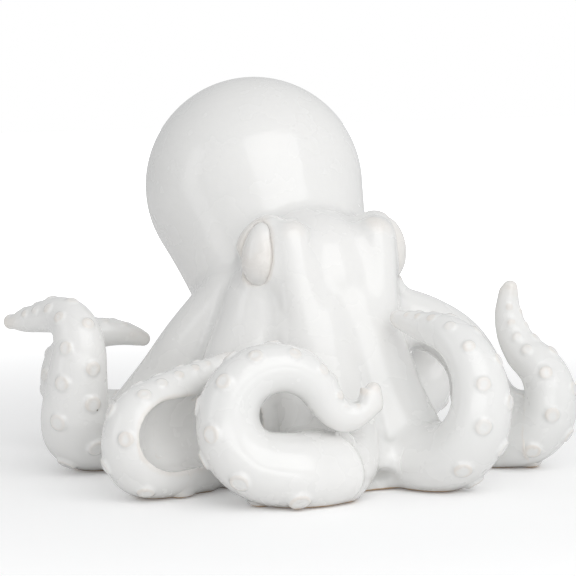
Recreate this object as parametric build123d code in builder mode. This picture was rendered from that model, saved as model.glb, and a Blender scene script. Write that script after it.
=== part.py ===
"""Octopus figurine of glazed slip-cast ceramic: a hollow body, eight curled arms and two eyes.

Millimetres. The origin is on the table under the middle of the head, +Z is up and the face looks along -Y.
Left and right are as seen from the front.
"""

import os
from collections import namedtuple

from build123d import *

os.makedirs("parts", exist_ok=True)

# Casting
WALL = 6
FLOOR_THICKNESS = 7
POUR_HOLE_RADIUS = 13
POUR_HOLE_BACK = 26
SEAT_CLEARANCE = 0.15

# Mantle: a ball on a tapering neck, on an axis that leans back
MANTLE_RADIUS = 65
MANTLE_BACK = 67.5
MANTLE_HEIGHT = 159
NECK_BACK = 15
NECK_HEIGHT = 90
NECK_ROOT_RADIUS = 49
NECK_ROOT_DEPTH = 45
WAIST_ANGLE = 14

# Head and web: turned about an upright axis, flaring down to the table
HEAD_FORWARD = 6
HEAD_RADIUS = 47
HEAD_HEIGHT = 105
WEB_RADIUS = 82

# Brows: two pillars with round tops, one in front of each eye
BROW_SIDE = 27
BROW_FORWARD = 34
BROW_HEIGHT = 136
BROW_RADIUS = 12
BROW_FOOT_SIDE = 20
BROW_FOOT_FORWARD = 48
BROW_FOOT_HEIGHT = 70
BROW_FOOT_RADIUS = 16

# Eyes and lids: half eggs seated in eggs, turned about an axis that leans back a little
EYE_SIDE = 39
EYE_FORWARD = 25
EYE_HEIGHT = 130
EYE_RADIUS = 10.5
EYE_TALL = 16
EYE_AZIMUTH = 62
EYE_LEAN = 8
LID_SINK = 5
LID_RADIUS = 14.5
LID_TALL = 21

# Arms: the section is wider than it is thick, and its sucker side is flatter than its back
ARM_TIP_RADIUS = 4.5
ARM_SEAT_HEIGHT = 15.5
ARM_TAPER = 0.75
ARM_WIDTH_SHARE = 1.15
ARM_BELLY_SHARE = 0.85
ARM_STATIONS = 20
STEPS_PER_STATION = 4

# Arm roots: from inside the head, over a shoulder and down to a straight collar at the seat
ROOT_RADIUS = 23.5
ROOT_START_REACH = 30
ROOT_LANDING = 24
ROOT_COLLAR = 6
ROOT_STATIONS = 7
HIGH_START = 105
HIGH_SHOULDER_REACH = 62
HIGH_SHOULDER_HEIGHT = 76
LOW_START = 102
LOW_SHOULDER_REACH = 53
LOW_SHOULDER_HEIGHT = 62
ARCH_RADIUS = 19
ARCH_PINCH = 3
ARCH_START = 89
ARCH_SHOULDER_REACH = 124
ARCH_LANDING = 22

# Suckers: two staggered rows of rimmed discs that shrink with the arm
SUCKER_FIRST_SHARE = 0.12
SUCKER_LAST_SHARE = 0.93
SUCKER_PITCH_SHARE = 0.56
SUCKER_RADIUS_SHARE = 0.32
SUCKER_ROW_ANGLE = 30
SUCKER_HEIGHT_SHARE = 0.32
SUCKER_ROOT_SHARE = 0.5
SUCKER_FLARE_SHARE = 0.2
SUCKER_LIP_SHARE = 0.76
SUCKER_GROOVE_SHARE = 0.5
SUCKER_BUTTON_SHARE = 0.24

# Each arm: reach of its seat from the middle, half thickness at the seat, and length beyond it
FRONT_REACH = 104
FRONT_RADIUS = 24
FRONT_LENGTH = 190
RIGHT_FRONT_REACH = 98
RIGHT_FRONT_RADIUS = 22
RIGHT_FRONT_LENGTH = 142
RIGHT_REACH = 114
RIGHT_RADIUS = 20.5
RIGHT_LENGTH = 122
RIGHT_BACK_REACH = 104
RIGHT_BACK_RADIUS = 21.5
RIGHT_BACK_LENGTH = 150
BACK_REACH = 104
BACK_RADIUS = 21.5
BACK_LENGTH = 160
LEFT_BACK_REACH = 106
LEFT_BACK_RADIUS = 21
LEFT_BACK_LENGTH = 136
LEFT_REACH = 112
LEFT_RADIUS = 23
LEFT_LENGTH = 157
LEFT_FRONT_REACH = 100
LEFT_FRONT_RADIUS = 21.5
LEFT_FRONT_LENGTH = 137

# Each bend: share of the arm's length, turn towards its back, turn towards its right
FRONT_BEND_SHARES = [(0.19, 15, 46), (0.58, 225, 0), (0.04, 0, 0), (0.19, -155, 0)]
RIGHT_FRONT_BEND_SHARES = [(0.8, 176, 0), (0.2, -8, 0)]
RIGHT_BEND_SHARES = [(0.13, 15, 13), (0.48, 132, 0), (0.39, -76, 0)]
RIGHT_BACK_BEND_SHARES = [(0.2, 5, 20), (0.62, 170, 10), (0.18, -60, 0)]
BACK_BEND_SHARES = [(0.2, 5, -25), (0.52, 175, -15), (0.28, -60, 0)]
LEFT_BACK_BEND_SHARES = [(0.25, 10, -22), (0.59, 173, 0), (0.16, 20, 0)]
LEFT_BEND_SHARES = [(0.17, 20, -38), (0.19, 65, 0), (0.18, 5, 0), (0.15, 45, 55), (0.14, 10, 45), (0.17, -10, 0)]
LEFT_FRONT_BEND_SHARES = [(0.2, 0, 0), (0.38, 162, 0), (0.32, 0, -20), (0.1, -20, -10)]

Root = namedtuple("Root", "radius pinch start shoulder_reach shoulder_height landing")
HIGH_ROOT = Root(ROOT_RADIUS, 0, HIGH_START, HIGH_SHOULDER_REACH, HIGH_SHOULDER_HEIGHT, ROOT_LANDING)
LOW_ROOT = Root(ROOT_RADIUS, 0, LOW_START, LOW_SHOULDER_REACH, LOW_SHOULDER_HEIGHT, ROOT_LANDING)
ARCHED_ROOT = Root(ARCH_RADIUS, ARCH_PINCH, ARCH_START, ARCH_SHOULDER_REACH, ARCH_START, ARCH_LANDING)

# The heading turns from the face towards the right; the root turns further before the seat;
# the roll turns the sucker rows towards the arm's left
Arm = namedtuple("Arm", "name heading turn reach radius length bends root roll")
ARMS = [
    Arm("arm_front", -22.5, -38, FRONT_REACH, FRONT_RADIUS, FRONT_LENGTH, FRONT_BEND_SHARES, LOW_ROOT, 18),
    Arm("arm_right_front", 19, 0, RIGHT_FRONT_REACH, RIGHT_FRONT_RADIUS, RIGHT_FRONT_LENGTH,
        RIGHT_FRONT_BEND_SHARES, LOW_ROOT, -8),
    Arm("arm_right", 64, -25, RIGHT_REACH, RIGHT_RADIUS, RIGHT_LENGTH, RIGHT_BEND_SHARES, ARCHED_ROOT, -20),
    Arm("arm_right_back", 128, 0, RIGHT_BACK_REACH, RIGHT_BACK_RADIUS, RIGHT_BACK_LENGTH,
        RIGHT_BACK_BEND_SHARES, HIGH_ROOT, 0),
    Arm("arm_back", 172, 0, BACK_REACH, BACK_RADIUS, BACK_LENGTH, BACK_BEND_SHARES, HIGH_ROOT, 0),
    Arm("arm_left_back", -148, 20, LEFT_BACK_REACH, LEFT_BACK_RADIUS, LEFT_BACK_LENGTH,
        LEFT_BACK_BEND_SHARES, HIGH_ROOT, 0),
    Arm("arm_left", -116, 33, LEFT_REACH, LEFT_RADIUS, LEFT_LENGTH, LEFT_BEND_SHARES, HIGH_ROOT, 20),
    Arm("arm_left_front", -67.5, 0, LEFT_FRONT_REACH, LEFT_FRONT_RADIUS, LEFT_FRONT_LENGTH,
        LEFT_FRONT_BEND_SHARES, LOW_ROOT, 0),
]

UP = Vector(0, 0, 1)


def outward(heading):
    """Level direction in which an arm leaves the body."""
    return Vector(0, -1, 0).rotate(Axis.Z, heading)


def seat_plane(arm):
    """Plane of the joint between an arm and its root: X to the arm's left, Y to its back, Z outwards."""
    place = outward(arm.heading) * arm.reach + UP * ARM_SEAT_HEIGHT
    way = outward(arm.heading + arm.turn)
    return Plane(origin=place, x_dir=UP.cross(way), z_dir=way)


def arm_radius(arm, share):
    """Half thickness of an arm at a share of its length."""
    return ARM_TIP_RADIUS + (arm.radius - ARM_TIP_RADIUS) * (1 - share) ** ARM_TAPER


def half_width(radius, share):
    """The section grows round towards the tip."""
    return radius * (1 + (ARM_WIDTH_SHARE - 1) * (1 - share))


def belly(radius, share):
    """Depth of the sucker side below the section's centre."""
    return radius * (1 + (ARM_BELLY_SHARE - 1) * (1 - share))


def arm_section(plane, radius, share):
    """Arm section: a round back over a flatter sucker side."""
    wide = half_width(radius, share)
    with BuildSketch(plane) as section:
        with BuildLine():
            EllipticalCenterArc((0, 0), wide, radius, 0, arc_size=180)
            EllipticalCenterArc((0, 0), wide, belly(radius, share), 180, arc_size=180)
        make_face()
    return section.sketch


def turn_at(bends, share):
    """Turn per unit of length, in degrees, of the bend that holds a share of the arm."""
    passed = 0
    for stretch, lift, swing in bends:
        passed += stretch
        if share < passed:
            break
    return lift / stretch, swing / stretch


def arm_stations(arm):
    """Planes square to the arm's path, evenly spaced from its seat to its tip."""
    steps = ARM_STATIONS * STEPS_PER_STATION
    pose = seat_plane(arm).location
    poses = [pose]
    for step in range(steps):
        lift, swing = turn_at(arm.bends, (step + 0.5) / steps)
        half_turn = Rotation(-lift / steps / 2, -swing / steps / 2, 0)
        pose = pose * half_turn * Pos(Z=arm.length / steps) * half_turn
        poses.append(pose)
    return poses


def sucker_places(arm, poses):
    """Seat and radius of each sucker, left and right by turns."""
    steps = len(poses) - 1
    share = SUCKER_FIRST_SHARE
    side = 1
    while share < SUCKER_LAST_SHARE:
        radius = arm_radius(arm, share)
        wide = half_width(radius, share)
        deep = belly(radius, share)
        ray = outward(arm.roll + side * SUCKER_ROW_ANGLE)
        on_skin = Vector(ray.X * wide, ray.Y * deep, 0)
        off_skin = Vector(ray.X / wide, ray.Y / deep, 0)
        yield poses[round(share * steps)] * Plane(origin=on_skin, z_dir=off_skin).location, radius
        share += SUCKER_PITCH_SHARE * radius / arm.length
        side = -side


def root_stations(arm):
    """Planes and radii of an arm's root, from inside the head to the seat."""
    way = outward(arm.heading)
    seat = seat_plane(arm)
    root = arm.root
    path = Bezier(
        way * ROOT_START_REACH + UP * root.start,
        way * root.shoulder_reach + UP * root.shoulder_height,
        seat.offset(-root.landing).origin,
        seat.offset(-ROOT_COLLAR).origin,
        mode=Mode.PRIVATE,
    )
    for station in range(ROOT_STATIONS):
        share = station / (ROOT_STATIONS - 1)
        along = path % share
        plane = Plane(origin=path @ share, x_dir=UP.cross(along), z_dir=along)
        yield plane, root.radius + (arm.radius - root.radius) * share - root.pinch * 4 * share * (1 - share)
    yield seat, arm.radius


def mantle_outline(wall):
    """Half outline of the mantle, its axis along the sketch's Y, drawn in by the wall."""
    foot = (NECK_ROOT_RADIUS - wall, -NECK_ROOT_DEPTH)
    with BuildSketch(MANTLE_PLANE) as outline:
        with BuildLine():
            ball = CenterArc((0, MANTLE_LINE.length), MANTLE_RADIUS - wall, -WAIST_ANGLE, 90 + WAIST_ANGLE)
            TangentArc(ball @ 0, foot, tangent=-(ball % 0))
            Polyline(foot, (0, -NECK_ROOT_DEPTH), ball @ 1)
        make_face()
    return outline.sketch


def head_outline(wall, foot):
    """Half outline of the head and web, its axis along the sketch's Y, drawn in by the wall."""
    hem = (WEB_RADIUS - wall, foot)
    with BuildSketch(HEAD_PLANE) as outline:
        with BuildLine():
            crown = CenterArc((0, HEAD_HEIGHT), HEAD_RADIUS - wall, 0, 90)
            TangentArc(crown @ 0, hem, tangent=-(crown % 0))
            Polyline(hem, (0, foot), crown @ 1)
        make_face()
    return outline.sketch


def eye_pose(side):
    """Place of an eye: X out of the head, Y along the cheek, Z up, leaning back a little."""
    way = outward(side * EYE_AZIMUTH)
    level = Plane(origin=(side * EYE_SIDE, -EYE_FORWARD, EYE_HEIGHT), x_dir=way, z_dir=UP)
    return level.location * Rotation(0, -EYE_LEAN, 0)


def egg_outline(pose, radius, tall):
    """Half outline of a long egg on the -Y side of a pose, its axis along the pose's Z."""
    with BuildSketch(Plane(pose * Rotation(0, 0, -90) * Rotation(90, 0, 0))) as outline:
        with BuildLine():
            top = CenterArc((0, tall - radius), radius, 0, 90)
            bottom = CenterArc((0, radius - tall), radius, -90, 90)
            Line(bottom @ 1, top @ 0)
            Line(top @ 1, bottom @ 0)
        make_face()
    return outline.sketch


def upright(pose):
    """The Z axis of a pose."""
    return Axis(pose.position, Plane(pose).z_dir)


HEAD_AXIS = Axis((0, -HEAD_FORWARD, 0), (0, 0, 1))
HEAD_PLANE = Plane(origin=(0, -HEAD_FORWARD, 0), x_dir=(1, 0, 0), z_dir=(0, -1, 0))
MANTLE_LINE = Vector(0, MANTLE_BACK - NECK_BACK, MANTLE_HEIGHT - NECK_HEIGHT)
MANTLE_AXIS = Axis((0, NECK_BACK, NECK_HEIGHT), MANTLE_LINE)
MANTLE_PLANE = Plane(origin=(0, NECK_BACK, NECK_HEIGHT), x_dir=(1, 0, 0), z_dir=Vector(1, 0, 0).cross(MANTLE_LINE))

with BuildPart() as body:
    revolve(mantle_outline(0), axis=MANTLE_AXIS)
    revolve(head_outline(0, 0), axis=HEAD_AXIS)
    for arm in ARMS:
        loft([arm_section(plane, radius, 0) for plane, radius in root_stations(arm)])
    for side in (-1, 1):
        top = Vector(side * BROW_SIDE, -BROW_FORWARD, BROW_HEIGHT)
        foot = Vector(side * BROW_FOOT_SIDE, -BROW_FOOT_FORWARD, BROW_FOOT_HEIGHT)
        pillar = top - foot
        with Locations(Plane(origin=foot + pillar / 2, z_dir=pillar)):
            Cone(BROW_FOOT_RADIUS, BROW_RADIUS, pillar.length)
        with Locations(top):
            Sphere(BROW_RADIUS)
    split(bisect_by=Plane.XY, keep=Keep.TOP)
    revolve(mantle_outline(WALL), axis=MANTLE_AXIS, mode=Mode.SUBTRACT)
    revolve(head_outline(WALL, FLOOR_THICKNESS), axis=HEAD_AXIS, mode=Mode.SUBTRACT)
    with Locations((0, POUR_HOLE_BACK, FLOOR_THICKNESS)):
        Hole(POUR_HOLE_RADIUS, depth=FLOOR_THICKNESS)
    for side in (-1, 1):
        lid = eye_pose(side) * Pos(X=-LID_SINK)
        revolve(egg_outline(lid, LID_RADIUS, LID_TALL), axis=upright(lid))
        socket = egg_outline(eye_pose(side), EYE_RADIUS + SEAT_CLEARANCE, EYE_TALL + SEAT_CLEARANCE)
        revolve(socket, axis=upright(eye_pose(side)), revolution_arc=180, mode=Mode.SUBTRACT)
body.part.label = "body"
export_step(body.part, "parts/body.step")

# A sucker of radius 1 on the XY plane: its root goes into the arm, its lip stands round a low button
with BuildPart() as unit_sucker:
    with BuildSketch(Plane.XZ):
        with BuildLine():
            Polyline(
                (0, -SUCKER_ROOT_SHARE),
                (1 + SUCKER_FLARE_SHARE, -SUCKER_ROOT_SHARE),
                (SUCKER_LIP_SHARE, SUCKER_HEIGHT_SHARE),
                (SUCKER_GROOVE_SHARE, 0),
                (0, SUCKER_BUTTON_SHARE),
                close=True,
            )
        make_face()
    revolve(axis=Axis.Z)

for arm in ARMS:
    with BuildPart() as casting:
        poses = arm_stations(arm)
        shares = [station / ARM_STATIONS for station in range(ARM_STATIONS + 1)]
        planes = [Plane(pose) for pose in poses[::STEPS_PER_STATION]]
        loft([arm_section(plane, arm_radius(arm, share), share) for plane, share in zip(planes, shares)])
        with Locations(poses[-1]):
            Sphere(ARM_TIP_RADIUS)
        add([
            scale(unit_sucker.part, by=SUCKER_RADIUS_SHARE * radius, mode=Mode.PRIVATE).moved(place)
            for place, radius in sucker_places(arm, poses)
        ])
        split(bisect_by=Plane.XY, keep=Keep.TOP)
    casting.part.label = arm.name
    export_step(casting.part, f"parts/{arm.name}.step")

for name, side in (("eye_left", -1), ("eye_right", 1)):
    with BuildPart() as eye:
        outline = egg_outline(eye_pose(side), EYE_RADIUS, EYE_TALL)
        revolve(outline, axis=upright(eye_pose(side)), revolution_arc=180)
    eye.part.label = name
    export_step(eye.part, f"parts/{name}.step")
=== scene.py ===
"""Looks of the octopus figurine: glazed skins grown over the cast pieces, studio light and the camera."""

import functools
import math

import bmesh
import bpy
import numpy as np
import openvdb
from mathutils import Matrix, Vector


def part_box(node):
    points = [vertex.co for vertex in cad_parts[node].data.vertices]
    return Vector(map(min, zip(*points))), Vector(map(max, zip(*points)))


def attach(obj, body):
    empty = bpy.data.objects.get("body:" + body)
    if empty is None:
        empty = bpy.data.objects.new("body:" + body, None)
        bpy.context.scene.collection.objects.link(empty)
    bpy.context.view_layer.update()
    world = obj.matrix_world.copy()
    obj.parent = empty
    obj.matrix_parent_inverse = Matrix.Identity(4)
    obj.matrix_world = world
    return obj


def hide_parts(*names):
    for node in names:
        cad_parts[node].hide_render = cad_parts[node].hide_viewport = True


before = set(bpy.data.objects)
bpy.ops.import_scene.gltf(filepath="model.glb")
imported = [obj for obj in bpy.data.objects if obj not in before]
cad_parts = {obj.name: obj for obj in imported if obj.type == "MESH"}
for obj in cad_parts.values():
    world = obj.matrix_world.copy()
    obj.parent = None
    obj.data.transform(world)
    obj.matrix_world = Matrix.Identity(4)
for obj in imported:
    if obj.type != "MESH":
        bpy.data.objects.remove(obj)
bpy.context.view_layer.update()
scene = bpy.context.scene

UP = np.array([0.0, 0.0, 1.0])
MM_PER_METRE = 1000

# Seats of the arms on the body, as in the part: heading, turn of the seat, reach
SEATS = {
    "arm_front": (-22.5, -38, 0.104),
    "arm_right_front": (19, 0, 0.098),
    "arm_right": (64, -25, 0.114),
    "arm_right_back": (128, 0, 0.104),
    "arm_back": (172, 0, 0.104),
    "arm_left_back": (-148, 20, 0.106),
    "arm_left": (-116, 33, 0.112),
    "arm_left_front": (-67.5, 0, 0.100),
}
SEAT_HEIGHT = 0.0155
MANTLE_TOP = (0.0, 0.072, 0.222)

# Eyes, as in the part, and the ball that shows between the lids: depth, half width, half height
EYES = {"eye_left": -1, "eye_right": 1}
EYE_PLACE = (0.039, -0.025, 0.130)
EYE_AZIMUTH = 62
EYE_LEAN = 8
BALL = (0.0120, 0.0122, 0.0190)
BALL_DROP = 0.002
BALL_TAPER = 0.14
BALL_BACK = 0.002
BALL_PRESS = 0.0008
BALL_SEGMENTS = 64
BALL_RINGS = 40
LID_PROUD = 0.0009
LID_SHIFT = (0.0010, 0.0008)
LID_OPENING = (0.0102, 0.0170)
LID_DEPTH = 0.001
LID_REACH = 0.026
LID_BLUR = 3
BROW_ARCH = (0.0135, 0.0150)
BROW_ROUND = 0.0056
BROW_FROM = -75
BROW_TO = 60
BROW_STEPS = 20

# Face: the zone between the brows and the roots whose ridges are blurred, and the head's wall behind it
FACE_PLACE = (0.0, -0.045, 0.098)
FACE_REACH = 0.050
FACE_CORE = 0.030
FACE_BLUR = 7
FACE_DEPTH = 0.0044
HEAD_FORWARD = 0.006
HEAD_HEIGHT = 0.105
WALL_MIDDLE = 0.0435

# Bowl in the curl of the left front arm: its place from the seat along the arm, up and to the arm's left
BOWL_ARM = "arm_left_front"
BOWL_PLACE = (0.0274, 0.0210, 0.017)
BOWL_HALF = (0.026, 0.020, 0.0155)
BOWL_RUN = 0.040
WEB_HALF = (0.020, 0.020, 0.010)

# Suckers: found in the CAD arms by the fan of triangles round each middle, then rounded off
FAN_TRIANGLES = 12
FAN_SLOPE = 0.433
FAN_SLACK = 0.04
FAN_SHARE = 0.555
MIDDLE_SHARE = 0.24
DISH_SHARES = (1.15, 0.26)
RIM_SHARE = 1.16
RIM_BEAD_SHARE = 0.27
RIM_RISE_SHARE = 0.12
BUTTON_SHARES = (0.46, 0.34)
BLOCK_SHARE = 2
WELD = 0.00001

# Skins: voxels, rolling-ball fillets, the stubs grown past each seat, smoothing and marking
ARM_VOXEL = 0.0007
BODY_VOXEL = 0.0011
BAND_VOXELS = 4
MARGIN = 0.016
BODY_FILLET = 0.009
ARM_FILLET = 0.0005
EDGE_ROUND = 0.0004
STUB = 0.024
ROOT_STUB = 0.006
STUB_RADIUS = 0.030
CUT_RADIUS = 0.036
CUT_SLACK = 1e-7
QUAD_CORNERS = 4
BLUR_PASSES = 3
ARM_SMOOTHING = 2
BODY_SMOOTHING = 6
SMOOTH_PUSH = 0.5
SMOOTH_PULL = -0.52
RELIEF_PASSES = 30
ARM_RELIEF = 1.0
BODY_RELIEF = 0.5
BALL_RELIEF = 0.4
SEAM_FADE = 0.004


def outward(heading):
    """Level direction in which an arm leaves the body."""
    turn = math.radians(heading)
    return np.array([math.sin(turn), -math.cos(turn), 0.0])


def seat(arm):
    """Centre and outward direction of an arm's seat."""
    heading, turn, reach = SEATS[arm]
    return outward(heading) * reach + UP * SEAT_HEIGHT, outward(heading + turn)


def eye_axes(side):
    """Centre of an eye, and its directions out of the head, along the cheek and up."""
    lean = math.radians(EYE_LEAN)
    way = outward(side * EYE_AZIMUTH)
    out = way * math.cos(lean) + UP * math.sin(lean)
    tall = UP * math.cos(lean) - way * math.sin(lean)
    centre = np.array(EYE_PLACE) * (side, 1, 1) - tall * BALL_DROP
    return centre, out, np.cross(tall, out), tall


def taper(up):
    """Share of an eyeball's width at a height above its centre."""
    return 1 - BALL_TAPER * up / BALL[2]


def node_mesh(node):
    """Points and triangles of a CAD node."""
    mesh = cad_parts[node].data
    mesh.calc_loop_triangles()
    points = np.empty(len(mesh.vertices) * 3, np.float32)
    triangles = np.empty(len(mesh.loop_triangles) * 3, np.int32)
    mesh.vertices.foreach_get("co", points)
    mesh.loop_triangles.foreach_get("vertices", triangles)
    return points.reshape(-1, 3), triangles.reshape(-1, 3).astype(np.uint32)


def level_set(voxel, band, points, triangles=None, quads=None):
    """Signed distance from a closed mesh, true within a band."""
    transform = openvdb.createLinearTransform(voxelSize=voxel)
    return openvdb.FloatGrid.createLevelSetFromPolygons(
        points, triangles=triangles, quads=quads, transform=transform, halfWidth=band / voxel
    )


@functools.cache
def node_grid(node, voxel, band):
    """Level set of a CAD node."""
    points, triangles = node_mesh(node)
    return level_set(voxel, band, points, triangles=triangles)


class Region:
    """A block of voxels and the places of their centres."""

    def __init__(self, low, high, voxel):
        self.voxel = voxel
        self.low = np.floor((np.array(low) - MARGIN) / voxel).astype(int)
        self.shape = np.ceil((np.array(high) + MARGIN) / voxel).astype(int) - self.low
        axes = [((np.arange(n) + first) * voxel).astype(np.float32) for n, first in zip(self.shape, self.low)]
        self.x, self.y, self.z = np.meshgrid(*axes, indexing="ij", sparse=True)

    def along(self, point, way):
        """Distance of each voxel beyond a plane."""
        x, y, z = (float(v) for v in way)
        return (self.x - point[0]) * x + (self.y - point[1]) * y + (self.z - point[2]) * z

    def from_point(self, point):
        """Distance of each voxel from a point."""
        return np.sqrt((self.x - point[0]) ** 2 + (self.y - point[1]) ** 2 + (self.z - point[2]) ** 2)

    def from_axis(self, point, way):
        """Distance of each voxel from a line."""
        return np.sqrt(np.maximum(self.from_point(point) ** 2 - self.along(point, way) ** 2, 0))

    def read(self, grid):
        """Values of a level set in this block."""
        values = np.empty(self.shape, np.float32)
        grid.copyToArray(values, ijk=tuple(int(i) for i in self.low))
        return values

    def node(self, node, band):
        """Signed distance from a CAD node, true within a band."""
        return self.read(node_grid(node, self.voxel, band))

    def surface(self, values, level=0.0):
        """Points and quads of the surface where the values equal a level."""
        grid = openvdb.FloatGrid(float(values.max()))
        grid.transform = openvdb.createLinearTransform(voxelSize=self.voxel)
        grid.copyFromArray(np.ascontiguousarray(values, np.float32), ijk=tuple(int(i) for i in self.low))
        return grid.convertToQuads(isovalue=level)

    def offset(self, values, level):
        """The field measured afresh from the surface at a level."""
        points, quads = self.surface(values, level)
        band = abs(level) + BAND_VOXELS * self.voxel
        return self.read(level_set(self.voxel, band, points, quads=quads)) + level

    def filleted(self, values, radius):
        """A field whose hollows are filled by a rolling ball."""
        return self.offset(values, radius)

    def rounded(self, values, radius):
        """A field whose edges are rounded."""
        return self.offset(values, -radius)


def block_of(mask):
    """The smallest block that holds all that isn't zero."""
    return tuple(slice(k.min(), k.max() + 1) for k in np.nonzero(mask))


def ellipsoid(half, along):
    """Near distance from an ellipsoid, from the coordinates along its axes."""
    near = sum((a / h) ** 2 for a, h in zip(along, half)) ** 0.5
    steep = sum((a / h**2) ** 2 for a, h in zip(along, half)) ** 0.5
    return near * (near - 1) / np.maximum(steep, 1)


def eye_coordinates(region, side, shift=(0, 0)):
    """Depth, untapered width and height of each voxel from an eye that is moved to the front and up."""
    centre, out, cheek, tall = eye_axes(side)
    centre = centre - side * cheek * shift[0] + tall * shift[1]
    up = region.along(centre, tall)
    return region.along(centre, out), region.along(centre, cheek) / taper(up), up


def ball(region, side, shift=(0, 0)):
    """Field of an eyeball, wider below than above."""
    return ellipsoid(BALL, eye_coordinates(region, side, shift))


def lid_opening(region, side):
    """Field of the gap between an eye's lids."""
    depth, wide, up = eye_coordinates(region, side)
    gap = (np.sqrt((wide / LID_OPENING[0]) ** 2 + (up / LID_OPENING[1]) ** 2) - 1) * LID_OPENING[0]
    return np.maximum(gap, LID_DEPTH - depth)


def brow(region, side):
    """Field of the fold that arches over an eye."""
    centre, _, cheek, tall = eye_axes(side)
    field = None
    for step in range(BROW_STEPS + 1):
        turn = math.radians(BROW_FROM + (BROW_TO - BROW_FROM) * step / BROW_STEPS)
        across = -side * BROW_ARCH[0] * math.sin(turn) * cheek
        point = centre + across + tall * BROW_ARCH[1] * math.cos(turn)
        bead = region.from_point(point) - BROW_ROUND
        field = bead if field is None else np.minimum(field, bead)
    return field


def bowl(region, field):
    """The field with the curl of the left front arm closed by a web and hollowed to a bowl."""
    centre, way = seat(BOWL_ARM)
    run = region.along(centre, way) - BOWL_PLACE[0]
    run = run - np.clip(run, -BOWL_RUN, 0)
    up = region.along(centre, UP) - BOWL_PLACE[1]
    left = region.along(centre, np.cross(UP, way))
    field = np.minimum(field, ellipsoid(WEB_HALF, (run, up, left)))
    return np.maximum(field, -ellipsoid(BOWL_HALF, (run, up, left - BOWL_PLACE[2])))


def suckers(arm):
    """Middle, axis and radius of each sucker of a CAD arm."""
    points, triangles = node_mesh(arm)
    welded, index = np.unique(np.round(points / WELD).astype(int), axis=0, return_inverse=True)
    places = welded * WELD
    triangles = index.reshape(-1)[triangles]
    for tip in np.flatnonzero(np.bincount(triangles.ravel()) >= FAN_TRIANGLES):
        fan = triangles[(triangles == tip).any(axis=1)]
        one, two, three = (places[fan[:, k]] for k in range(3))
        axis = np.cross(two - one, three - one).sum(axis=0)
        length = np.linalg.norm(axis)
        if length == 0:
            continue
        axis /= length
        ring = places[np.setdiff1d(fan, tip)] - places[tip]
        slant = np.linalg.norm(ring, axis=1).mean()
        if abs(-(ring @ axis).mean() / slant - FAN_SLOPE) < FAN_SLACK:
            radius = slant / FAN_SHARE
            yield places[tip] - axis * MIDDLE_SHARE * radius, axis, radius


def round_sucker(region, field, place, axis, radius):
    """Sets a round rim and button in the place of a CAD sucker's cones."""
    reach = BLOCK_SHARE * radius
    low = np.maximum(((place - reach) / region.voxel).astype(int) - region.low, 0)
    high = ((place + reach) / region.voxel).astype(int) - region.low
    block = tuple(slice(a, b) for a, b in zip(low, high))
    x = region.x[block[0]] - place[0]
    y = region.y[:, block[1]] - place[1]
    z = region.z[:, :, block[2]] - place[2]
    up = x * axis[0] + y * axis[1] + z * axis[2]
    across = np.sqrt(np.maximum(x**2 + y**2 + z**2 - up**2, 0))
    rim = np.hypot(across - RIM_SHARE * radius, up - RIM_RISE_SHARE * radius) - RIM_BEAD_SHARE * radius
    wide, tall = (share * radius for share in BUTTON_SHARES)
    button = ellipsoid((wide, tall), (across, up))
    broad, deep = (share * radius for share in DISH_SHARES)
    bare = np.maximum(field[block], np.minimum(broad - across, up + deep))
    field[block] = np.minimum(bare, np.minimum(rim, button))


def blurred(values, width):
    """Values averaged over a cube a few times."""
    for axis in (0, 1, 2) * BLUR_PASSES:
        pad = [(0, 0)] * 3
        pad[axis] = (width // 2 + 1, width // 2)
        total = np.cumsum(np.pad(values, pad, mode="edge"), axis=axis, dtype=np.float64)
        ahead = np.take(total, range(width, total.shape[axis]), axis)
        behind = np.take(total, range(total.shape[axis] - width), axis)
        values = ((ahead - behind) / width).astype(np.float32)
    return values


def smooth_face(region, field):
    """The field with the face's ridges worked over."""
    far = region.from_point(FACE_PLACE)
    share = np.clip((FACE_REACH - far) / (FACE_REACH - FACE_CORE), 0, 1)
    share = share * share * (3 - 2 * share)
    block = block_of(share)
    core = np.hypot(region.x, region.y + HEAD_FORWARD)
    core = np.hypot(core, np.maximum(region.z - HEAD_HEIGHT, 0)) - WALL_MIDDLE
    rough = np.clip(np.minimum(field, core)[block], -FACE_DEPTH, FACE_DEPTH)
    worked = field.copy()
    worked[block] += share[block] * (blurred(rough, FACE_BLUR) - rough)
    return worked


def open_lids(region, field, side):
    """The field with an eye's place hollowed and the edges of its lids softened."""
    field = np.maximum(field, -np.minimum(lid_opening(region, side), ball(region, side) + BALL_PRESS))
    near = region.from_point(eye_axes(side)[0]) < LID_REACH
    block = block_of(near)
    field[block] = np.where(near[block], blurred(field[block], LID_BLUR), field[block])
    return field


def neighbour_mean(values, ends, links):
    """Mean over each point's neighbours."""
    return np.stack([np.bincount(ends[:, 0], v[ends[:, 1]], len(links)) / links for v in values.T], axis=1)


def smoothed(points, quads, passes):
    """Points relaxed over the quads' edges without shrinking."""
    ends = np.concatenate([quads[:, [0, 1]], quads[:, [1, 2]], quads[:, [2, 3]], quads[:, [3, 0]]])
    ends = np.concatenate([ends, ends[:, ::-1]])
    links = np.bincount(ends[:, 0], minlength=len(points)).astype(float)
    points = points.astype(float)
    for step in range(passes):
        push = SMOOTH_PUSH if step % 2 == 0 else SMOOTH_PULL
        points = points + push * (neighbour_mean(points, ends, links) - points)
    return points


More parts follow.
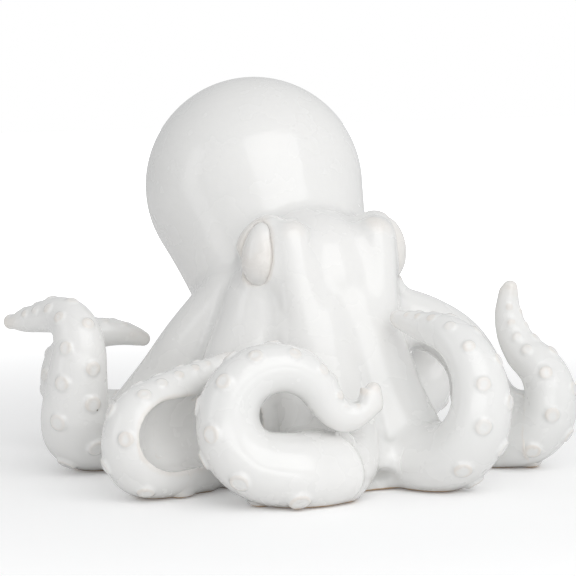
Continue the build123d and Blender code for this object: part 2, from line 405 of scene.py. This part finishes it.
def mark_relief(mesh, share, seats):
    """Stores how far each point stands out of its surroundings, in millimetres."""
    points = np.empty(len(mesh.vertices) * 3)
    normals = np.empty(len(mesh.vertices) * 3)
    ends = np.empty(len(mesh.edges) * 2, np.int32)
    mesh.vertices.foreach_get("co", points)
    mesh.vertices.foreach_get("normal", normals)
    mesh.edges.foreach_get("vertices", ends)
    points, normals, ends = points.reshape(-1, 3), normals.reshape(-1, 3), ends.reshape(-1, 2)
    ends = np.concatenate([ends, ends[:, ::-1]])
    links = np.maximum(np.bincount(ends[:, 0], minlength=len(points)), 1).astype(float)
    mean = points
    for _ in range(RELIEF_PASSES):
        mean = neighbour_mean(mean, ends, links)
    relief = ((points - mean) * normals).sum(axis=1) * MM_PER_METRE * share
    for centre, way in seats:
        near = np.linalg.norm(points - centre, axis=1) < CUT_RADIUS
        relief[near] *= np.clip(np.abs((points[near] - centre) @ way) / SEAM_FADE - 1, 0, 1)
    mesh.attributes.new("relief", "FLOAT", "POINT").data.foreach_set("value", relief)


def cut_loose(bm, near, centre, way):
    """Cuts a mesh along one loop round a seat."""
    geom = list({v for f in near for v in f.verts}) + list({e for f in near for e in f.edges}) + near
    cut = bmesh.ops.bisect_plane(bm, geom=geom, dist=CUT_SLACK, plane_co=centre, plane_no=way)["geom_cut"]
    edges = {e for e in cut if isinstance(e, bmesh.types.BMEdge)}
    loops = []
    while edges:
        stack = [edges.pop()]
        loop = []
        while stack:
            edge = stack.pop()
            loop.append(edge)
            for vert in edge.verts:
                for other in vert.link_edges:
                    if other in edges:
                        edges.discard(other)
                        stack.append(other)
        loops.append(loop)

    def off_centre(loop):
        middle = sum(((e.verts[0].co + e.verts[1].co) / 2 for e in loop), Vector()) / len(loop)
        return (middle - centre).length

    bmesh.ops.split_edges(bm, edges=min(loops, key=off_centre))


def keep_part(bm, start):
    """Deletes all that isn't joined to the vertex nearest to a point."""
    seed = min(bm.verts, key=lambda v: (v.co - start).length)
    kept = {seed}
    stack = [seed]
    while stack:
        vert = stack.pop()
        for edge in vert.link_edges:
            other = edge.other_vert(vert)
            if other not in kept:
                kept.add(other)
                stack.append(other)
    bmesh.ops.delete(bm, geom=[v for v in bm.verts if v not in kept], context="VERTS")


def close_rims(bm):
    """Closes a cut mesh, with a sharp edge round each cap."""
    rims = [e for e in bm.edges if e.is_boundary]
    bmesh.ops.edgeloop_fill(bm, edges=rims)
    for edge in rims:
        edge.smooth = False


def dress(node, bm, relief_share, seats=()):
    """A glazed piece in the place of a node, from a closed mesh."""
    for face in bm.faces:
        face.smooth = True
    mesh = bpy.data.meshes.new(node + "_skin")
    bm.to_mesh(mesh)
    bm.free()
    mark_relief(mesh, relief_share, seats)
    mesh.materials.append(glaze)
    piece = bpy.data.objects.new(node + "_skin", mesh)
    scene.collection.objects.link(piece)
    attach(piece, "root")
    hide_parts(node)


def skin(node, region, field, passes, relief_share, seats, start):
    """A piece from a field, with a flat foot, cut at seats and closed there."""
    points, quads = region.surface(np.maximum(field, -region.z))
    points = smoothed(points, quads, passes)
    mesh = bpy.data.meshes.new(node)
    mesh.from_pydata(points, [], quads)
    bm = bmesh.new()
    bm.from_mesh(mesh)
    bpy.data.meshes.remove(mesh)
    bm.faces.ensure_lookup_table()
    middles = points[quads].mean(axis=1)
    reach = [np.linalg.norm(middles - centre, axis=1) < CUT_RADIUS for centre, way in seats]
    near = [[bm.faces[i] for i in np.flatnonzero(close)] for close in reach]
    for faces, (centre, way) in zip(near, seats):
        cut_loose(bm, faces, Vector(centre), Vector(way))
    keep_part(bm, Vector(start))
    bmesh.ops.triangulate(bm, faces=[f for f in bm.faces if len(f.verts) > QUAD_CORNERS])
    close_rims(bm)
    bmesh.ops.recalc_face_normals(bm, faces=bm.faces[:])
    dress(node, bm, relief_share, seats)


def arm_skin(arm):
    """An arm with rounded suckers, grown a little past its seat and cut there."""
    low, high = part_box(arm)
    centre, way = seat(arm)
    region = Region(np.minimum(low, centre - STUB), np.maximum(high, centre + STUB), ARM_VOXEL)
    band = ARM_FILLET + BAND_VOXELS * ARM_VOXEL
    beyond = region.along(centre, way)
    root = np.maximum(region.node("body", band), beyond)
    root = np.maximum(root, -beyond - ROOT_STUB)
    root = np.maximum(root, region.from_axis(centre, way) - STUB_RADIUS)
    field = np.minimum(region.node(arm, band), root)
    for place, axis, radius in suckers(arm):
        round_sucker(region, field, place, axis, radius)
    field = region.filleted(field, ARM_FILLET)
    if arm == BOWL_ARM:
        field = bowl(region, field)
    field = region.rounded(field, EDGE_ROUND)
    skin(arm, region, field, ARM_SMOOTHING, ARM_RELIEF, [(centre, way)], centre + way * STUB)


def body_skin():
    """The body with its blended roots, brows, lids and face, cut at the arms' seats."""
    low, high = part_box("body")
    region = Region(low, high, BODY_VOXEL)
    band = BODY_FILLET + BAND_VOXELS * BODY_VOXEL
    field = region.node("body", band)
    for arm in SEATS:
        centre, way = seat(arm)
        beyond = region.along(centre, way)
        stub = np.maximum(region.node(arm, band), np.maximum(beyond - STUB, -beyond))
        field = np.minimum(field, np.maximum(stub, region.from_axis(centre, way) - STUB_RADIUS))
    for eye, side in EYES.items():
        field = np.minimum(field, region.node(eye, band))
        field = np.minimum(field, np.minimum(brow(region, side), ball(region, side, LID_SHIFT) - LID_PROUD))
    field = smooth_face(region, region.filleted(field, BODY_FILLET))
    field = bowl(region, field)
    for side in EYES.values():
        field = open_lids(region, field, side)
    seats = [seat(arm) for arm in SEATS]
    skin("body", region, field, BODY_SMOOTHING, BODY_RELIEF, seats, MANTLE_TOP)


def eye_skin(eye, side):
    """An egg-shaped eyeball with a flat back."""
    centre, out, cheek, tall = eye_axes(side)
    bm = bmesh.new()
    bmesh.ops.create_uvsphere(bm, u_segments=BALL_SEGMENTS, v_segments=BALL_RINGS, radius=1)
    for vert in bm.verts:
        depth, wide, up = (c * h for c, h in zip(vert.co, BALL))
        wide *= taper(up)
        vert.co = Vector(centre + out * depth + cheek * wide + tall * up)
    geom = bm.verts[:] + bm.edges[:] + bm.faces[:]
    back = Vector(centre - out * BALL_BACK)
    bmesh.ops.bisect_plane(bm, geom=geom, plane_co=back, plane_no=Vector(out), clear_inner=True)
    close_rims(bm)
    dress(eye, bm, BALL_RELIEF)


# Sockets of a mix node's colours, by number because its other kinds carry the same names
MIX_SHARE = 0
MIX_ONE = 6
MIX_TWO = 7
MIX_RESULT = 2


class Nodes:
    """A tree of shader nodes, added and joined in one call each."""

    def __init__(self, tree):
        self.tree = tree

    def add(self, kind, inputs, **settings):
        """A node with its settings and inputs, each a value or another node's output."""
        node = self.tree.nodes.new(kind)
        for key, value in settings.items():
            setattr(node, key, value)
        self.join(node, inputs)
        return node

    def join(self, node, inputs):
        """Sets or links a node's inputs."""
        for key, value in inputs.items():
            if isinstance(value, bpy.types.NodeSocket):
                self.tree.links.new(value, node.inputs[key])
            else:
                node.inputs[key].default_value = value

    def noise(self, place, scale, detail):
        """Noise with so many waves to the metre."""
        inputs = {"Vector": place, "Scale": scale, "Detail": detail}
        return self.add("ShaderNodeTexNoise", inputs).outputs["Fac"]

    def ramp(self, value, low, high, to_low=0.0, to_high=1.0, kind="SMOOTHSTEP"):
        """A value brought from one range to another."""
        inputs = {"Value": value, "From Min": low, "From Max": high, "To Min": to_low, "To Max": to_high}
        return self.add("ShaderNodeMapRange", inputs, interpolation_type=kind).outputs[0]

    def math(self, operation, *values):
        """Arithmetic of values."""
        return self.add("ShaderNodeMath", dict(enumerate(values)), operation=operation).outputs[0]

    def blend(self, share, one, two):
        """Colours mixed by a share."""
        inputs = {MIX_SHARE: share, MIX_ONE: one, MIX_TWO: two}
        return self.add("ShaderNodeMix", inputs, data_type="RGBA").outputs[MIX_RESULT]

    def bump(self, height, size, normal=None, invert=False):
        """A normal bent by a height, with a strength and a distance."""
        inputs = {"Height": height, "Strength": size[0], "Distance": size[1]}
        if normal is not None:
            inputs["Normal"] = normal
        return self.add("ShaderNodeBump", inputs, invert=invert).outputs[0]


class Shader(Nodes):
    """The nodes of a new material."""

    def __init__(self, name):
        self.material = bpy.data.materials.new(name)
        self.material.use_nodes = True
        super().__init__(self.material.node_tree)
        self.surface = self.tree.nodes["Principled BSDF"]


# Glaze: colours
GLAZE_WHITE = (0.88, 0.875, 0.86, 1)
GLAZE_THICK = (0.82, 0.825, 0.815, 1)
# Painted shade: a darker grey laid in the deepest grooves, such as round the suckers' buttons
GROOVE_PAINTED_SHADE = (0.66, 0.655, 0.63, 1)
GLAZE_THIN = (0.82, 0.775, 0.725, 1)
BARE_CLAY = (0.56, 0.40, 0.26, 1)
PINHOLE = (0.16, 0.12, 0.09, 1)

# Glaze: noises as waves to the metre and detail, ramps as a range and what it becomes,
# bumps as strength and distance
MOTTLE = (45, 3)
DRIFT = (11, 2)
PEEL = (260, 2)
DRIFT_RAMP = (0.3, 0.75, 0, 0.5)
HOLLOW_RAMP = (-0.1, -0.6, 0, 0.9)
# Painted shade in the deepest grooves comes in over this range of relief
GROOVE_SHADE_RAMP = (-0.25, -0.7, 0, 0.8)
RIM_RAMP = (0.25, 0.7)
THIN_RAMP = (0.3, 0.65, 0.25, 0.85)
GLOSS_RAMP = (0.2, 0.8, 0.2, 0.32)
PINHOLE_CELLS = 70
PINHOLE_CHANCE = 0.985
PINHOLE_RAMP = (0.055, 0.03)
FOOT_WAVE = 0.0016
FOOT_HEIGHT = 0.0004
BARE_ROUGHNESS = 0.75
WAVE_BUMP = (0.35, 0.004)
PEEL_BUMP = (0.06, 0.0006)
PINHOLE_BUMP = (0.6, 0.0004)
GLAZE_IOR = 1.52
COAT_WEIGHT = 0.6
COAT_ROUGHNESS = 0.05


def glaze_material():
    """White glossy glaze: thin and warm on rims, thick in hollows, with painted shade in deep grooves, wiped
    off the foot, with pinholes.
    """
    shader = Shader("white_glaze")
    place = shader.add("ShaderNodeTexCoord", {}).outputs["Object"]
    relief = shader.add("ShaderNodeAttribute", {}, attribute_name="relief").outputs["Fac"]
    mottle = shader.noise(place, *MOTTLE)
    drift = shader.noise(place, *DRIFT)
    colour = shader.blend(shader.ramp(drift, *DRIFT_RAMP), GLAZE_WHITE, GLAZE_THICK)
    colour = shader.blend(shader.ramp(relief, *HOLLOW_RAMP), colour, GLAZE_THICK)
    # Painted shade: the deepest grooves darkened
    colour = shader.blend(shader.ramp(relief, *GROOVE_SHADE_RAMP), colour, GROOVE_PAINTED_SHADE)
    thin = shader.math("MULTIPLY", shader.ramp(relief, *RIM_RAMP), shader.ramp(mottle, *THIN_RAMP))
    colour = shader.blend(thin, colour, GLAZE_THIN)
    cells = shader.add("ShaderNodeTexVoronoi", {"Vector": place, "Scale": PINHOLE_CELLS, "Randomness": 1.0})
    chance = shader.add("ShaderNodeSeparateColor", {"Color": cells.outputs["Color"]}).outputs[0]
    rare = shader.math("GREATER_THAN", chance, PINHOLE_CHANCE)
    pit = shader.math("MULTIPLY", rare, shader.ramp(cells.outputs["Distance"], *PINHOLE_RAMP))
    colour = shader.blend(pit, colour, PINHOLE)
    height = shader.add("ShaderNodeSeparateXYZ", {"Vector": place}).outputs["Z"]
    bare = shader.math("LESS_THAN", height, shader.math("MULTIPLY_ADD", mottle, FOOT_WAVE, FOOT_HEIGHT))
    colour = shader.blend(bare, colour, BARE_CLAY)
    dull = shader.math("MULTIPLY", bare, BARE_ROUGHNESS)
    gloss = shader.math("MAXIMUM", shader.ramp(mottle, *GLOSS_RAMP), dull)
    waves = shader.bump(drift, WAVE_BUMP)
    peel = shader.bump(shader.noise(place, *PEEL), PEEL_BUMP, waves)
    holes = shader.bump(pit, PINHOLE_BUMP, peel, invert=True)
    shader.join(shader.surface, {"Base Color": colour, "Roughness": gloss, "Normal": holes, "IOR": GLAZE_IOR})
    coat = {"Coat Weight": COAT_WEIGHT, "Coat Roughness": COAT_ROUGHNESS, "Coat Normal": holes}
    shader.join(shader.surface, coat)
    return shader.material


glaze = glaze_material()
for arm in SEATS:
    arm_skin(arm)
body_skin()
for eye, side in EYES.items():
    eye_skin(eye, side)

# Camera at the photograph's place, aimed at the middle of the photograph
AZIMUTH = math.radians(-27)
ELEVATION = math.radians(10.5)
DISTANCE = 1.6
METRES_PER_PX = 0.000586
IMAGE_PX = 576
ORIGIN_PX = (305, 465)
CLIP_END = 20
RIGHT = Vector((math.cos(AZIMUTH), math.sin(AZIMUTH), 0))
BACK = Vector((
    math.sin(AZIMUTH) * math.cos(ELEVATION),
    -math.cos(AZIMUTH) * math.cos(ELEVATION),
    math.sin(ELEVATION),
))
camera = bpy.data.objects.new("camera", bpy.data.cameras.new("camera"))
scene.collection.objects.link(camera)
camera.location = BACK * DISTANCE
aim = RIGHT * (IMAGE_PX / 2 - ORIGIN_PX[0]) + BACK.cross(RIGHT) * (ORIGIN_PX[1] - IMAGE_PX / 2)
camera.rotation_euler = (camera.location - aim * METRES_PER_PX).to_track_quat("Z", "Y").to_euler()
camera.data.lens = DISTANCE / METRES_PER_PX / IMAGE_PX * camera.data.sensor_width
camera.data.clip_end = CLIP_END
scene.camera = camera

# Light: soft boxes as place, size and watts, and walls that are brighter on the camera's right
LAMPS = {
    "key": ((0.0, -1.0, 0.95), (1.3, 1.1), 5.2),
    "low": ((-0.45, -1.1, 0.14), (1.3, 0.26), 1.6),
    "left": ((-1.2, 0.2, 0.4), (0.35, 1.0), 0.8),
}
TARGET = Vector((0, 0.03, 0.12))
WHITE = (1, 1, 1, 1)
WALL_TINT = (0.99, 0.995, 1, 1)
WALL_LEFT = 0.48
WALL_RIGHT = 0.8


def lamp(name, place, size, watts):
    """A soft box that faces the object."""
    light = bpy.data.lights.new(name, "AREA")
    light.shape = "RECTANGLE"
    light.size, light.size_y = size
    light.energy = watts
    item = bpy.data.objects.new(name, light)
    item.location = place
    item.rotation_euler = (item.location - TARGET).to_track_quat("Z", "Y").to_euler()
    scene.collection.objects.link(item)


def studio():
    """A world that lights the object by its walls and that the camera sees as white."""
    world = bpy.data.worlds.new("studio")
    world.use_nodes = True
    nodes = Nodes(world.node_tree)
    nodes.tree.nodes.clear()
    way = nodes.add("ShaderNodeTexCoord", {}).outputs["Generated"]
    right = nodes.add("ShaderNodeVectorMath", {0: way, 1: RIGHT}, operation="DOT_PRODUCT").outputs["Value"]
    strength = nodes.ramp(right, -1, 1, WALL_LEFT, WALL_RIGHT, "LINEAR")
    walls = nodes.add("ShaderNodeBackground", {"Color": WALL_TINT, "Strength": strength}).outputs[0]
    seen = nodes.add("ShaderNodeBackground", {"Color": WHITE}).outputs[0]
    path = nodes.add("ShaderNodeLightPath", {}).outputs["Is Camera Ray"]
    mix = nodes.add("ShaderNodeMixShader", {0: path, 1: walls, 2: seen}).outputs[0]
    nodes.add("ShaderNodeOutputWorld", {0: mix})
    return world


for name, values in LAMPS.items():
    lamp(name, *values)
scene.world = studio()

# Floor: pale paper that the camera sees as white where no shadow falls
FLOOR_HALF = 3.0
FLOOR_DROP = 0.0002
PAPER = (0.9, 0.9, 0.9, 1)
PAPER_ROUGHNESS = 0.9
PAPER_LIFT = (0.2, 1.2, 0.18, 1.0)


def paper_material():
    """Matt paper that fades to white away from the object, for the camera alone."""
    shader = Shader("paper")
    seen = shader.add("ShaderNodeLightPath", {}).outputs["Is Camera Ray"]
    place = shader.add("ShaderNodeTexCoord", {}).outputs["Object"]
    reach = shader.add("ShaderNodeVectorMath", {0: place}, operation="LENGTH").outputs["Value"]
    lift = shader.math("MULTIPLY", seen, shader.ramp(reach, *PAPER_LIFT))
    shader.join(shader.surface, {"Base Color": PAPER, "Roughness": PAPER_ROUGHNESS})
    shader.join(shader.surface, {"Emission Color": WHITE, "Emission Strength": lift})
    return shader.material


floor_mesh = bpy.data.meshes.new("floor")
corners = [(x * FLOOR_HALF, y * FLOOR_HALF, 0) for x, y in ((-1, -1), (1, -1), (1, 1), (-1, 1))]
floor_mesh.from_pydata(corners, [], [(0, 1, 2, 3)])
floor = bpy.data.objects.new("floor", floor_mesh)
floor.location.z = -FLOOR_DROP
scene.collection.objects.link(floor)
floor.data.materials.append(paper_material())

scene.view_settings.view_transform = "Standard"
